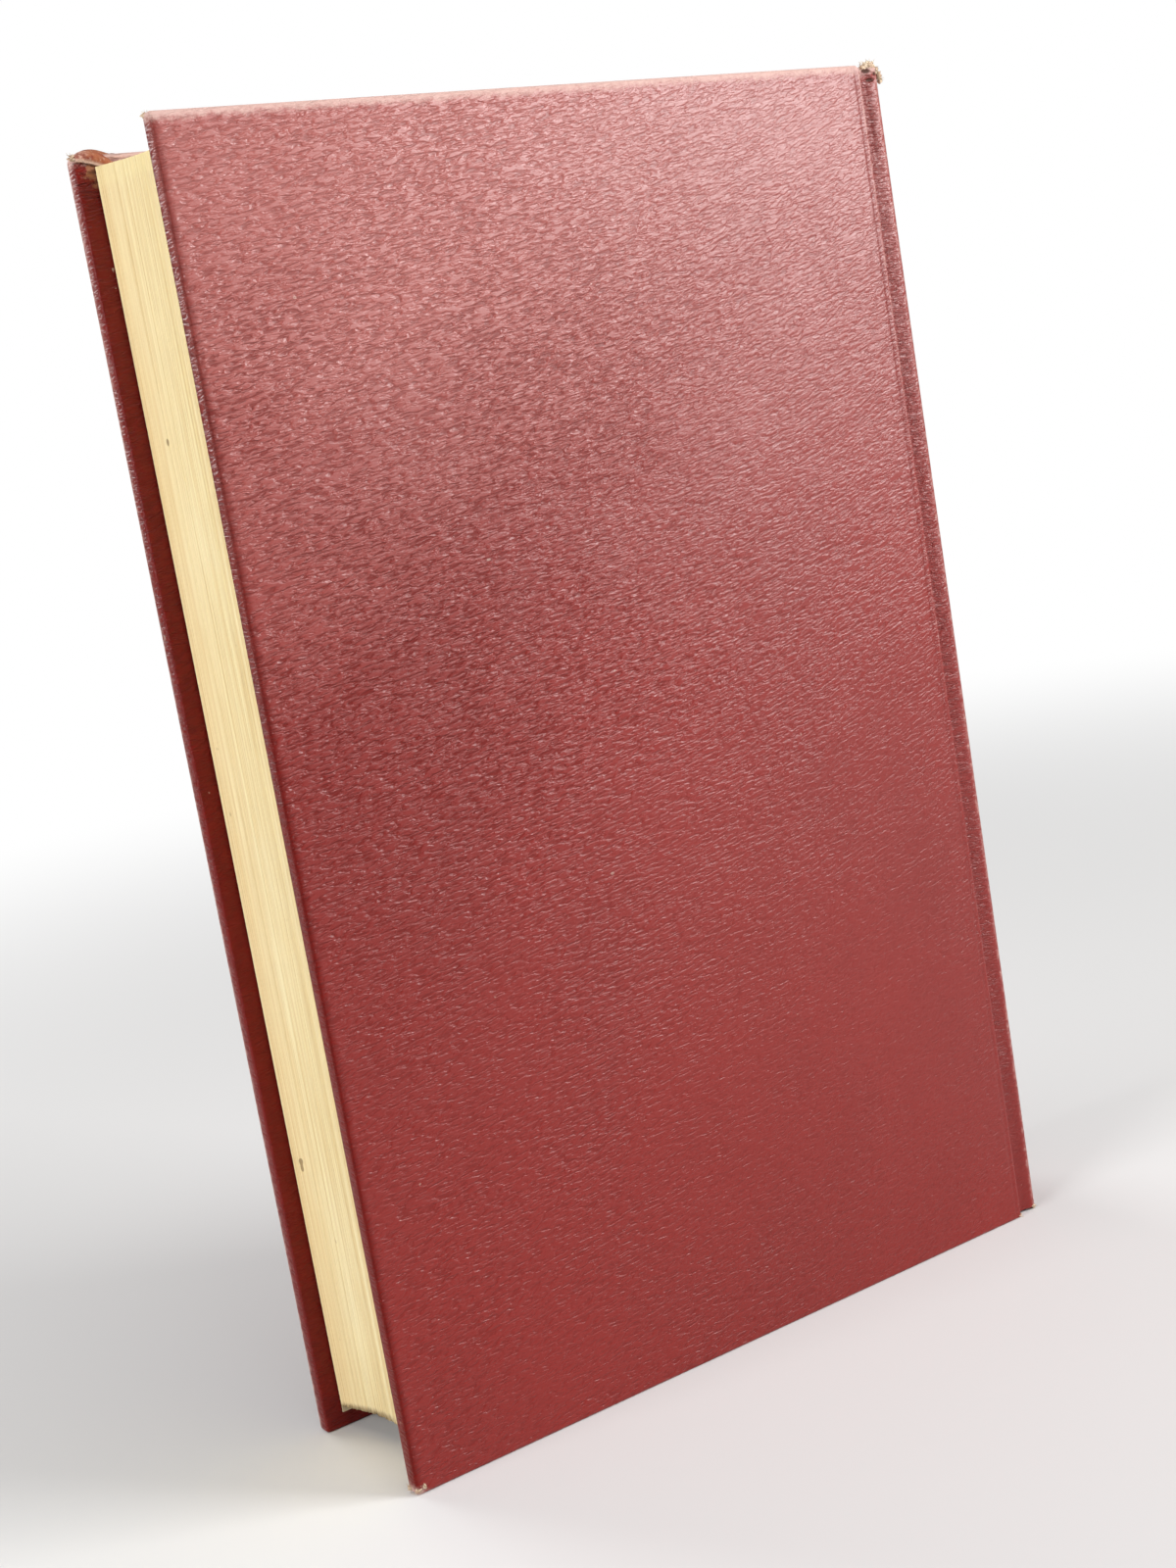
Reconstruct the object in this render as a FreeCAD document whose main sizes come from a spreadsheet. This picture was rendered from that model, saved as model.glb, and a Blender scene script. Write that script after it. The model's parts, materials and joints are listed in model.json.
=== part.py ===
import FreeCAD, Part
import math
import os
import Sketcher
from FreeCAD import Placement, Rotation, Vector

# A hardback book, case bound: a rounded and backed block of leaves in a case of two boards
# and a spine, covered in leathercloth. Millimetres. The book stands on its tail, +Z to the
# head, the fore-edge towards -X, the spine towards +X, the back cover towards -Y.

SIZES = {
    "board_width": 137.2,
    "board_height": 221.2,
    "board_thick": 2.2,
    "leather_thick": 0.4,
    "turn_in": 15,
    "corner_round": 0.8,
    "edge_round": 0.35,
    "paper_thick": 0.2,
    "pastedown_margin": 4,
    "leaves_thick": 29.6,
    "square_ends": 3,
    "square_fore": 3.4,
    "fore_hollow": 3.6,
    "closing_gap": 0.15,
    "groove_run": 4.6,
    "groove_depth": 1.6,
    "shoulder_drop": 0.9,
    "shoulder_round": 0.8,
    "hinge_run": 1.3,
    "hinge_slit": 0.3,
    "spine_round": 5.6,
    "inlay_thick": 0.6,
    "hollow_gap": 0.2,
    "lining_thick": 0.25,
    "lining_short": 2,
    "mull_thick": 0.25,
    "mull_short": 14,
    "band_bead": 1.7,
    "band_skirt": 9,
}

# The case: two boards, each wrapped in leathercloth, with the outer faces HALF_OUTER from
# the middle of the book.
CASE_WIDTH = "(Sizes.board_width + 2 * Sizes.leather_thick)"
CASE_HEIGHT = "(Sizes.board_height + 2 * Sizes.leather_thick)"
COVER_THICK = "(Sizes.board_thick + 2 * Sizes.leather_thick)"
HALF_LEAVES = "(Sizes.leaves_thick / 2)"
HALF_INNER = f"({HALF_LEAVES} + Sizes.paper_thick + Sizes.closing_gap)"
HALF_OUTER = f"({HALF_INNER} + Sizes.paper_thick + {COVER_THICK})"
PAGE_HEIGHT = f"({CASE_HEIGHT} - 2 * Sizes.square_ends)"
HINGE_X = f"({CASE_WIDTH} + Sizes.hinge_run)"

# The spine is an arc over the two shoulders. Its layers share one centre, CENTRE_X from the
# fore-edge of the case, and stop at the same angle, whose sine is ARC_SINE.
CREST_X = f"({CASE_WIDTH} + Sizes.groove_run)"
CREST_Y = f"({HALF_OUTER} - Sizes.shoulder_drop)"
SPINE_RADIUS = (
    f"(({CREST_Y} * {CREST_Y} + Sizes.spine_round * Sizes.spine_round)"
    " / (2 * Sizes.spine_round))"
)
INLAY_RADIUS = f"({SPINE_RADIUS} - Sizes.leather_thick)"
TURN_IN_RADIUS = f"({INLAY_RADIUS} - Sizes.inlay_thick)"
HOLLOW_RADIUS = f"({TURN_IN_RADIUS} - Sizes.leather_thick)"
LINING_RADIUS = f"({HOLLOW_RADIUS} - Sizes.hollow_gap)"
MULL_RADIUS = f"({LINING_RADIUS} - Sizes.lining_thick)"
BLOCK_RADIUS = f"({MULL_RADIUS} - Sizes.mull_thick)"
CENTRE_X = f"({CREST_X} + Sizes.spine_round - {SPINE_RADIUS})"
ARC_SINE = f"({CREST_Y} / {SPINE_RADIUS})"
ARC_COSINE = f"(({CREST_X} - {CENTRE_X}) / {SPINE_RADIUS})"
ARC_ANGLE = f"(2 * asin({ARC_SINE}))"

# How far a cut reaches past the outside of its piece, and what a half circle's radius gets
# on top so that its two ends are a little nearer than its diameter.
OVERCUT = "1"
HALF_CIRCLE_SLACK = "0.001"

# Everything is drawn with x from the fore-edge of the case and then moved, so that the
# book's own origin is under its middle.
BOOK_WIDTH = f"({CREST_X} + Sizes.spine_round)"
SHIFT_X = f"(-{BOOK_WIDTH} / 2)"

doc = FreeCAD.newDocument("HardbackBook")
sheet = doc.addObject("Spreadsheet::Sheet", "Sizes")
for row, (alias, size) in enumerate(SIZES.items(), start=1):
    sheet.set(f"A{row}", alias)
    sheet.set(f"B{row}", str(size))
    sheet.setAlias(f"B{row}", alias)
doc.recompute()


def value(expression):
    """The number that an expression of the sheet's sizes stands for."""
    result = sheet.evalExpression(expression)
    return float(getattr(result, "Value", result))


def new_body(name, x=SHIFT_X, y="0", z="0", turned=False):
    """A body for one piece; turned lays it over about X, as the front is to the back."""
    body = doc.addObject("PartDesign::Body", name)
    body.Label = name
    if turned:
        body.Placement = Placement(Vector(), Rotation(Vector(1, 0, 0), 180))
    for axis, expression in (("x", x), ("y", y), ("z", z)):
        body.setExpression(f"Placement.Base.{axis}", expression)
    return body


def cover_body(name, front):
    """A body drawn inwards from the outer face of the back cover, or turned to the front."""
    if front:
        return new_body(name, y=HALF_OUTER, z=CASE_HEIGHT, turned=True)
    return new_body(name, y=f"-{HALF_OUTER}")


def new_sketch(body, name, plane, offset):
    """An empty sketch on one of the body's own planes, offset along the plane's normal."""
    sketch = body.newObject("Sketcher::SketchObject", name)
    base = [f for f in body.Origin.OriginFeatures if f.Role == plane][0]
    sketch.AttachmentSupport = [(base, "")]
    sketch.MapMode = "FlatFace"
    sketch.setExpression("AttachmentOffset.Base.z", offset)
    return sketch


def arc_between(start, end, radius, side):
    """The short arc from start to end; side 1 bulges to the right of the way, -1 to the left."""
    chord = end - start
    middle = (start + end) / 2
    across = Vector(chord.y, -chord.x, 0).normalize() * side
    rise = radius - math.sqrt(max(radius ** 2 - (chord.Length / 2) ** 2, 0))
    return Part.Arc(start, middle + across * rise, end)


def outline(body, name, plane, corners, offset="0", arcs=None):
    """A closed outline through corners; arcs gives (radius, side) by the corner it leaves."""
    arcs = arcs or {}
    sketch = new_sketch(body, name, plane, offset)
    points = [Vector(value(x), value(y), 0) for x, y in corners]
    ends = []
    for index, start in enumerate(points):
        end = points[(index + 1) % len(points)]
        if index in arcs:
            radius, side = arcs[index]
            geometry = sketch.addGeometry(arc_between(start, end, value(radius), side), False)
            bound = sketch.addConstraint(Sketcher.Constraint("Radius", geometry, value(radius)))
            sketch.setExpression(f"Constraints[{bound}]", radius)
        else:
            geometry = sketch.addGeometry(Part.LineSegment(start, end), False)
        forward = sketch.getPoint(geometry, 1).distanceToPoint(start) < 1e-6
        ends.append((geometry, 1, 2) if forward else (geometry, 2, 1))
    for index, (x, y) in enumerate(corners):
        last, _, last_end = ends[index - 1]
        this, this_start, _ = ends[index]
        sketch.addConstraint(Sketcher.Constraint("Coincident", last, last_end, this, this_start))
        for kind, text, number in (("DistanceX", x, points[index].x), ("DistanceY", y, points[index].y)):
            place = Sketcher.Constraint(kind, -1, 1, this, this_start, number)
            sketch.setExpression(f"Constraints[{sketch.addConstraint(place)}]", text)
    return sketch


def rectangle(x0, x1, y0, y1):
    """The four corners of a rectangle."""
    return [(x0, y0), (x1, y0), (x1, y1), (x0, y1)]


def feature(body, kind, name, sketch, length, backwards=False):
    """A pad or pocket of a sketch."""
    made = body.newObject(f"PartDesign::{kind}", name)
    made.Profile = sketch
    made.Reversed = backwards
    made.setExpression("Length", length)
    doc.recompute()
    return made


def plate(body, name, corners, depth, thick, kind="Pad"):
    """A pad or pocket of corners in the XZ plane, from one depth, thick further inwards."""
    sketch = outline(body, f"{name}_outline", "XZ_Plane", corners, offset=f"-{depth}")
    return feature(body, kind, name, sketch, thick, backwards=(kind == "Pad"))


def revolved(body, name, corners, arcs=None):
    """A profile in the XZ plane turned through the spine's arc about the body's Z axis."""
    sketch = outline(body, f"{name}_profile", "XZ_Plane", corners, arcs=arcs)
    made = body.newObject("PartDesign::Revolution", name)
    made.Profile = sketch
    made.ReferenceAxis = (sketch, ["V_Axis"])
    made.Midplane = True
    made.setExpression("Angle", ARC_ANGLE)
    doc.recompute()
    return made


def rounded(body, name, radius, chosen):
    """A fillet of the edges of the body so far whose middle point is chosen."""
    base = body.Tip
    edges = []
    for number, edge in enumerate(base.Shape.Edges, start=1):
        middle = edge.valueAt((edge.FirstParameter + edge.LastParameter) / 2)
        if chosen(middle, edge):
            edges.append(f"Edge{number}")
    made = body.newObject("PartDesign::Fillet", name)
    made.Base = (base, edges)
    made.setExpression("Radius", radius)
    doc.recompute()
    return made


def near(first, second):
    """Whether two lengths are the same but for rounding."""
    return abs(first - second) < 1e-4


def board(name, front):
    """A grey board with its two fore-edge corners eased, wrapped all round by the cover."""
    body = cover_body(name, front)
    leather = "Sizes.leather_thick"
    corners = rectangle(leather, f"{leather} + Sizes.board_width", leather, f"{leather} + Sizes.board_height")
    plate(body, f"{name}_sheet", corners, leather, "Sizes.board_thick")
    fore_edge = value(leather)
    rounded(
        body,
        f"{name}_corners",
        "Sizes.corner_round - Sizes.leather_thick",
        lambda middle, edge: near(middle.x, fore_edge) and near(edge.Length, value("Sizes.board_thick")),
    )
    return body


def cover_leather(name, front):
    """Leathercloth over a board, turned in at head, tail and fore-edge, and led into the groove."""
    body = cover_body(name, front)
    leather = "Sizes.leather_thick"
    turn_in = "Sizes.turn_in"
    groove_floor = f"(Sizes.groove_depth + {leather})"
    plate(body, f"{name}_wrap", rectangle("0", CASE_WIDTH, "0", CASE_HEIGHT), "0", COVER_THICK)
    rounded(
        body,
        f"{name}_corners",
        "Sizes.corner_round",
        lambda middle, edge: near(middle.x, 0) and near(edge.Length, value(COVER_THICK)),
    )
    rounded(
        body,
        f"{name}_edges",
        "Sizes.edge_round",
        lambda middle, edge: near(middle.y, 0) or (
            near(middle.y, value(COVER_THICK)) and middle.x < value("Sizes.corner_round")
        ),
    )
    plate(
        body,
        f"{name}_opening",
        rectangle(turn_in, f"{CASE_WIDTH} + {OVERCUT}", turn_in, f"{CASE_HEIGHT} - {turn_in}"),
        f"({leather} + Sizes.board_thick)",
        leather,
        kind="Pocket",
    )
    plate(
        body,
        f"{name}_board_space",
        rectangle(leather, f"{CASE_WIDTH} - {leather}", leather, f"{CASE_HEIGHT} - {leather}"),
        leather,
        "Sizes.board_thick",
        kind="Pocket",
    )
    plate(
        body,
        f"{name}_joint_side",
        rectangle(
            f"{CASE_WIDTH} - {leather}",
            f"{CASE_WIDTH} + {OVERCUT}",
            f"-{OVERCUT}",
            f"{CASE_HEIGHT} + {OVERCUT}",
        ),
        groove_floor,
        COVER_THICK,
        kind="Pocket",
    )
    lip = rectangle(
        f"{CASE_WIDTH} - {leather}",
        f"{HINGE_X} - Sizes.hinge_slit / 2",
        "Sizes.groove_depth",
        groove_floor,
    )
    feature(body, "Pad", f"{name}_lip", outline(body, f"{name}_lip_outline", "XY_Plane", lip), CASE_HEIGHT)
    return body


def pastedown(name, front):
    """The endpaper glued inside a cover: it climbs from the board over the turn-ins."""
    body = cover_body(name, front)
    margin = "Sizes.pastedown_margin"
    turn_in = "Sizes.turn_in"
    paper = "Sizes.paper_thick"
    board_side = "(Sizes.leather_thick + Sizes.board_thick)"
    joint_edge = f"({CASE_WIDTH} - Sizes.leather_thick)"
    outside = rectangle(margin, joint_edge, margin, f"{CASE_HEIGHT} - {margin}")
    plate(body, f"{name}_sheet", outside, board_side, f"Sizes.leather_thick + {paper}")
    # Over the turn-ins only the top layer stays; over the bare board only the bottom one.
    inner_high = f"({CASE_HEIGHT} - {turn_in})"
    strips = {
        "fore": rectangle("0", turn_in, "0", CASE_HEIGHT),
        "tail": rectangle("0", CASE_WIDTH, "0", turn_in),
        "head": rectangle("0", CASE_WIDTH, inner_high, CASE_HEIGHT),
    }
    for side, corners in strips.items():
        plate(body, f"{name}_over_{side}", corners, board_side, "Sizes.leather_thick", kind="Pocket")
    step = f"({turn_in} + {paper})"
    plate(
        body,
        f"{name}_field",
        rectangle(step, f"{CASE_WIDTH} + {OVERCUT}", step, f"{CASE_HEIGHT} - {step}"),
        f"({board_side} + {paper})",
        "Sizes.leather_thick",
        kind="Pocket",
    )
    return body


def shoulder():
    """Start and end of the flare by which the leaves' backs bend out into a shoulder."""
    start_x = f"({CASE_WIDTH} + Sizes.hinge_slit)"
    tip_x = f"({CENTRE_X} + {BLOCK_RADIUS} * {ARC_COSINE})"
    tip_y = f"({BLOCK_RADIUS} * {ARC_SINE})"
    run = f"({tip_x} - {start_x})"
    rise = f"({tip_y} - {HALF_LEAVES})"
    radius = f"(({run} * {run} + {rise} * {rise}) / (2 * {rise}))"
    return start_x, tip_x, tip_y, radius


def text_block():
    """The leaves, sewn, rounded and backed, as one solid with a hollow fore-edge."""
    body = new_body("text_block")
    start_x, tip_x, tip_y, flare_radius = shoulder()
    fore = "Sizes.square_fore"
    fore_radius = (
        f"(({HALF_LEAVES} * {HALF_LEAVES} + Sizes.fore_hollow * Sizes.fore_hollow)"
        " / (2 * Sizes.fore_hollow))"
    )
    corners = [
        (fore, f"-{HALF_LEAVES}"),
        (start_x, f"-{HALF_LEAVES}"),
        (tip_x, f"-{tip_y}"),
        (tip_x, tip_y),
        (start_x, HALF_LEAVES),
        (fore, HALF_LEAVES),
    ]
    arcs = {
        1: (flare_radius, -1),
        2: (BLOCK_RADIUS, 1),
        3: (flare_radius, -1),
        5: (fore_radius, -1),
    }
    sketch = outline(body, "leaves_section", "XY_Plane", corners, offset="Sizes.square_ends", arcs=arcs)
    feature(body, "Pad", "leaves", sketch, PAGE_HEIGHT)
    return body


def flyleaf(name, front):
    """The free endpaper: a sheet along the first leaf that follows it into the shoulder."""
    body = cover_body(name, front)
    start_x, tip_x, tip_y, flare_radius = shoulder()
    inner = f"({HALF_OUTER} - {HALF_LEAVES})"
    outer = f"({inner} - Sizes.paper_thick)"
    tip_inner = f"({HALF_OUTER} - {tip_y})"
    tip_outer = f"({tip_inner} - Sizes.paper_thick)"
    corners = [
        ("Sizes.square_fore", outer),
        (start_x, outer),
        (tip_x, tip_outer),
        (tip_x, tip_inner),
        (start_x, inner),
        ("Sizes.square_fore", inner),
    ]
    arcs = {1: (flare_radius, -1), 3: (flare_radius, 1)}
    sketch = outline(body, f"{name}_section", "XY_Plane", corners, offset="Sizes.square_ends", arcs=arcs)
    feature(body, "Pad", f"{name}_sheet", sketch, PAGE_HEIGHT)
    return body


def spine_body(name):
    """A body whose Z axis is the axis of the spine's arc."""
    return new_body(name, x=f"{SHIFT_X} + {CENTRE_X}")


def spine_layer(name, inner_radius, outer_radius, bottom, top):
    """One layer of the spine, following its arc between two heights."""
    body = spine_body(name)
    revolved(body, f"{name}_layer", rectangle(inner_radius, outer_radius, bottom, top))
    return body


def spine_leather():
    """Leathercloth round the inlay, turned in at head and tail, with a ramp into each groove."""
    body = spine_body("spine_leather")
    leather = "Sizes.leather_thick"
    turn_in = "Sizes.turn_in"
    head_fold = f"({CASE_HEIGHT} - {leather})"
    head_turn_in = f"({CASE_HEIGHT} - {turn_in})"
    profile = [
        (SPINE_RADIUS, "0"),
        (SPINE_RADIUS, CASE_HEIGHT),
        (HOLLOW_RADIUS, CASE_HEIGHT),
        (HOLLOW_RADIUS, head_turn_in),
        (TURN_IN_RADIUS, head_turn_in),
        (TURN_IN_RADIUS, head_fold),
        (INLAY_RADIUS, head_fold),
        (INLAY_RADIUS, leather),
        (TURN_IN_RADIUS, leather),
        (TURN_IN_RADIUS, turn_in),
        (HOLLOW_RADIUS, turn_in),
        (HOLLOW_RADIUS, "0"),
    ]
    revolved(body, "spine_wrap", profile)
    groove_x = f"({HINGE_X} + Sizes.hinge_slit / 2 - {CENTRE_X})"
    groove_y = f"({HALF_OUTER} - Sizes.groove_depth)"
    for side, sign in (("back", "-"), ("front", "")):
        ramp = [
            (groove_x, f"{sign}({groove_y} - {leather})"),
            (groove_x, f"{sign}{groove_y}"),
            (f"{SPINE_RADIUS} * {ARC_COSINE}", f"{sign}{SPINE_RADIUS} * {ARC_SINE}"),
            (f"{INLAY_RADIUS} * {ARC_COSINE}", f"{sign}{INLAY_RADIUS} * {ARC_SINE}"),
        ]
        sketch = outline(body, f"{side}_ramp_outline", "XY_Plane", ramp)
        feature(body, "Pad", f"{side}_ramp", sketch, CASE_HEIGHT)
    crest_x = value(f"{SPINE_RADIUS} * {ARC_COSINE}")
    crest_y = value(f"{SPINE_RADIUS} * {ARC_SINE}")
    rounded(
        body,
        "shoulder_crests",
        "Sizes.shoulder_round",
        lambda middle, edge: near(middle.x, crest_x) and near(abs(middle.y), crest_y)
        and near(edge.Length, value(CASE_HEIGHT)),
    )
    return body


def headband(name, page_edge, outwards):
    """A bead over the back edge of the leaves with its skirt glued down the spine."""
    body = spine_body(name)
    bead = "Sizes.band_bead"
    profile = [
        (BLOCK_RADIUS, f"{page_edge} - {outwards} * Sizes.band_skirt"),
        (MULL_RADIUS, f"{page_edge} - {outwards} * Sizes.band_skirt"),
        (MULL_RADIUS, f"{page_edge} + {outwards} * {bead} / 2"),
        (f"{MULL_RADIUS} - {bead}", f"{page_edge} + {outwards} * {bead} / 2"),
        (f"{MULL_RADIUS} - {bead}", page_edge),
        (BLOCK_RADIUS, page_edge),
    ]
    revolved(body, f"{name}_bead", profile, arcs={2: (f"({bead} / 2 + {HALF_CIRCLE_SLACK})", outwards)})
    return body


nodes = [text_block()]
for side, front in (("back", False), ("front", True)):
    nodes.append(board(f"{side}_board", front))
    nodes.append(cover_leather(f"{side}_cover_leather", front))
    nodes.append(pastedown(f"{side}_pastedown", front))
    nodes.append(flyleaf(f"{side}_flyleaf", front))
nodes.append(spine_leather())
nodes.append(spine_layer("spine_inlay", TURN_IN_RADIUS, INLAY_RADIUS, "Sizes.leather_thick",
                         f"{CASE_HEIGHT} - Sizes.leather_thick"))
lining_bottom = "(Sizes.square_ends + Sizes.lining_short)"
nodes.append(spine_layer("spine_lining", MULL_RADIUS, LINING_RADIUS, lining_bottom,
                         f"{CASE_HEIGHT} - {lining_bottom}"))
mull_bottom = "(Sizes.square_ends + Sizes.mull_short)"
nodes.append(spine_layer("mull", BLOCK_RADIUS, MULL_RADIUS, mull_bottom, f"{CASE_HEIGHT} - {mull_bottom}"))
nodes.append(headband("head_band", f"({CASE_HEIGHT} - Sizes.square_ends)", 1))
nodes.append(headband("tail_band", "Sizes.square_ends", -1))

doc.recompute()
for item in doc.Objects:
    if "Invalid" in item.State or "Error" in item.State:
        raise RuntimeError(f"{item.Name} failed: {item.State}")
for node in nodes:
    if node.Shape.isNull() or not node.Shape.isValid() or len(node.Shape.Solids) != 1:
        raise RuntimeError(f"{node.Label} is not one valid solid")

os.makedirs("parts", exist_ok=True)
for node in nodes:
    node.Shape.exportStep(f"parts/{node.Label}.step")
    box = node.Shape.BoundBox
    print(
        f"{node.Label:20s} {node.Shape.Volume:10.1f} mm3"
        f"  x {box.XMin:7.2f} {box.XMax:7.2f}  y {box.YMin:7.2f} {box.YMax:7.2f}"
        f"  z {box.ZMin:7.2f} {box.ZMax:7.2f}"
    )
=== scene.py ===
# %% [markdown]
# A worn hardback book
#
# This lesson dresses a hardback book whose solids were made in CAD. The book stands on its tail,
# its back cover towards the camera and its fore-edge to the left. The covering is maroon
# leathercloth, a cotton cloth with a grained coating, rubbed at the edges and broken at the
# corners. The leaves are old cream paper.
#
# The CAD solids stay where they are. New pieces take their sizes from them, in metres.

# %% Load the CAD frame
import json
import math
import random

import bmesh
import bpy
from mathutils import Matrix, Vector, noise


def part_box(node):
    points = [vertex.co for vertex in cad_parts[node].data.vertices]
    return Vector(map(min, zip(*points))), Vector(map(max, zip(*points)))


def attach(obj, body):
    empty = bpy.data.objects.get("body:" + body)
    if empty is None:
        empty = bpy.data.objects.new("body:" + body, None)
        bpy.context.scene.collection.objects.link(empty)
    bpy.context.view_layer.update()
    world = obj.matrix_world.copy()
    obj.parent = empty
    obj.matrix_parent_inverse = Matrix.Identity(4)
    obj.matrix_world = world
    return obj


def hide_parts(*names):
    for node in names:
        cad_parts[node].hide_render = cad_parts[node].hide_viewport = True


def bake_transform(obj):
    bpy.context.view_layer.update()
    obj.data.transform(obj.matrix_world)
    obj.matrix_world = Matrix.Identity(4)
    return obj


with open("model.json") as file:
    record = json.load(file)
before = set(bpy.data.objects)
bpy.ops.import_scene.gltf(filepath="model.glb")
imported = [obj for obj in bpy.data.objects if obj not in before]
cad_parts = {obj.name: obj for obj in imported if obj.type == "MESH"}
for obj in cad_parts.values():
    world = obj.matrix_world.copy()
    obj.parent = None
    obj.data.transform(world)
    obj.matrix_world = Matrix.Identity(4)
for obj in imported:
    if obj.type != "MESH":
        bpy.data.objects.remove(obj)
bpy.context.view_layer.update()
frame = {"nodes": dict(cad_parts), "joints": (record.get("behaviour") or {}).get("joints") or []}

MM = 0.001
nodes = frame["nodes"]

# %% [markdown]
# The sizes of the case
#
# Everything on a case-bound book follows from the boards and the spine. The boards' places come
# from the CAD boxes. The groove is the pressed channel between board and spine, and past it the
# spine rises to a shoulder and then bulges out in one arc from shoulder to shoulder.

# %% Sizes from the frame
case_low, case_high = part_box("back_cover_leather")
board_low, board_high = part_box("back_board")
spine_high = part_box("spine_leather")[1]
leaves_low, leaves_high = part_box("text_block")

LEATHER = board_low.x - case_low.x
FORE_X = case_low.x
JOINT_X = board_high.x + LEATHER
OUTER_Y = case_low.y
INNER_Y = case_high.y
TAIL_Z = case_low.z
HEAD_Z = case_high.z
TURN_IN = 15 * MM
CLOTH = LEATHER * 0.9
PAPER = 0.16 * MM
CORNER_ROUND = 0.6 * MM
EDGE_ROUND = 0.45 * MM

GROOVE_DEPTH = 1.6 * MM
GROOVE_RUN = 4.6 * MM
SHOULDER_DROP = 0.9 * MM
HINGE_X = frame["joints"][0]["pos_m"][0]
CREST = Vector((JOINT_X + GROOVE_RUN, OUTER_Y + SHOULDER_DROP, 0))
SPINE_ROUND = spine_high.x - CREST.x
SPINE_RADIUS = (CREST.y ** 2 + SPINE_ROUND ** 2) / (2 * SPINE_ROUND)
SPINE_CENTRE = Vector((spine_high.x - SPINE_RADIUS, 0, 0))
CREST_ANGLE = math.asin(-CREST.y / SPINE_RADIUS)
SEAM_ANGLE = CREST_ANGLE - math.radians(8)
print("spine radius", round(SPINE_RADIUS / MM, 2), "mm")
print("spine's half angle", round(math.degrees(CREST_ANGLE), 1), "degrees")

# %% [markdown]
# The camera
#
# The camera stands low in front of the fore-edge corner and is tipped sideways, so that the
# book leans in the picture. Its place, its line of sight and the picture's upward direction are
# given in the book's own frame.

# %% Camera
CAMERA_PLACE = Vector((-204.33, -318.31, 164.15)) * MM
CAMERA_FORWARD = Vector((0.5194, 0.8395, -0.1594))
CAMERA_UP = Vector((0.2255, 0.0452, 0.9732))
CAMERA_LENS = 48.42


def camera_turn(forward, up):
    """Rotation whose -Z looks forward and whose Y is as near to up as it can be."""
    back = -forward.normalized()
    right = up.cross(back).normalized()
    return Matrix((right, back.cross(right), back)).transposed()


camera_data = bpy.data.cameras.new("camera")
camera_data.lens = CAMERA_LENS
camera_data.sensor_width = 36
camera_data.clip_start = 0.01
camera = bpy.data.objects.new("camera", camera_data)
camera_aim = camera_turn(CAMERA_FORWARD, CAMERA_UP).to_4x4()
camera.matrix_world = Matrix.Translation(CAMERA_PLACE) @ camera_aim
bpy.context.scene.collection.objects.link(camera)
bpy.context.scene.camera = camera
print("camera", round(CAMERA_PLACE.length, 3), "m from the middle of the book's tail")

# %% [markdown]
# Floor and light
#
# A pale floor and white surroundings keep the book readable. Grained leathercloth shows its
# wrinkles only in raking light, and its broad sheen comes from one large soft lamp that mirrors
# in the head half of the cover. A lamp from above lights the floor and the head edges, one from
# the left opens up the leaves, and one behind the book does the same for the front cover.
#
# Far from the book the floor turns white for the camera only, so that no horizon shows, while
# the floor near the book keeps its shadow.


# %% Floor and world
def soft_lamp(name, place, target, size, power):
    data = bpy.data.lights.new(name, "AREA")
    data.shape = "SQUARE"
    data.size = size
    data.energy = power
    lamp = bpy.data.objects.new(name, data)
    aim = (target - place).to_track_quat("-Z", "Y")
    lamp.matrix_world = Matrix.Translation(place) @ aim.to_matrix().to_4x4()
    bpy.context.scene.collection.objects.link(lamp)


FLOOR_COLOUR = (0.71, 0.705, 0.70, 1)
FLOOR_NEAR, FLOOR_FAR = 0.24, 0.85
SURROUNDINGS = 0.14


def pale_floor(near_edge, far_edge):
    """Pale matt paint that turns white for the camera between two distances from the book."""
    material = bpy.data.materials.new("pale_floor")
    material.use_nodes = True
    tree = material.node_tree
    shader = tree.nodes["Principled BSDF"]
    shader.inputs["Base Color"].default_value = FLOOR_COLOUR
    shader.inputs["Roughness"].default_value = 0.9
    place = tree.nodes.new("ShaderNodeTexCoord")
    distance = tree.nodes.new("ShaderNodeVectorMath")
    distance.operation = "LENGTH"
    fade = tree.nodes.new("ShaderNodeMapRange")
    fade.interpolation_type = "SMOOTHSTEP"
    fade.inputs["From Min"].default_value = near_edge
    fade.inputs["From Max"].default_value = far_edge
    ray = tree.nodes.new("ShaderNodeLightPath")
    share = tree.nodes.new("ShaderNodeMath")
    share.operation = "MULTIPLY"
    white = tree.nodes.new("ShaderNodeEmission")
    blend = tree.nodes.new("ShaderNodeMixShader")
    tree.links.new(place.outputs["Object"], distance.inputs[0])
    tree.links.new(distance.outputs["Value"], fade.inputs["Value"])
    tree.links.new(fade.outputs["Result"], share.inputs[0])
    tree.links.new(ray.outputs["Is Camera Ray"], share.inputs[1])
    tree.links.new(share.outputs["Value"], blend.inputs["Fac"])
    tree.links.new(shader.outputs["BSDF"], blend.inputs[1])
    tree.links.new(white.outputs["Emission"], blend.inputs[2])
    tree.links.new(blend.outputs["Shader"], tree.nodes["Material Output"].inputs["Surface"])
    return material


floor_shape = bmesh.new()
bmesh.ops.create_grid(floor_shape, x_segments=1, y_segments=1, size=6)
floor_mesh = bpy.data.meshes.new("floor")
floor_shape.to_mesh(floor_mesh)
floor_shape.free()
floor = bpy.data.objects.new("floor", floor_mesh)
floor_mesh.materials.append(pale_floor(FLOOR_NEAR, FLOOR_FAR))
bpy.context.scene.collection.objects.link(floor)

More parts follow.
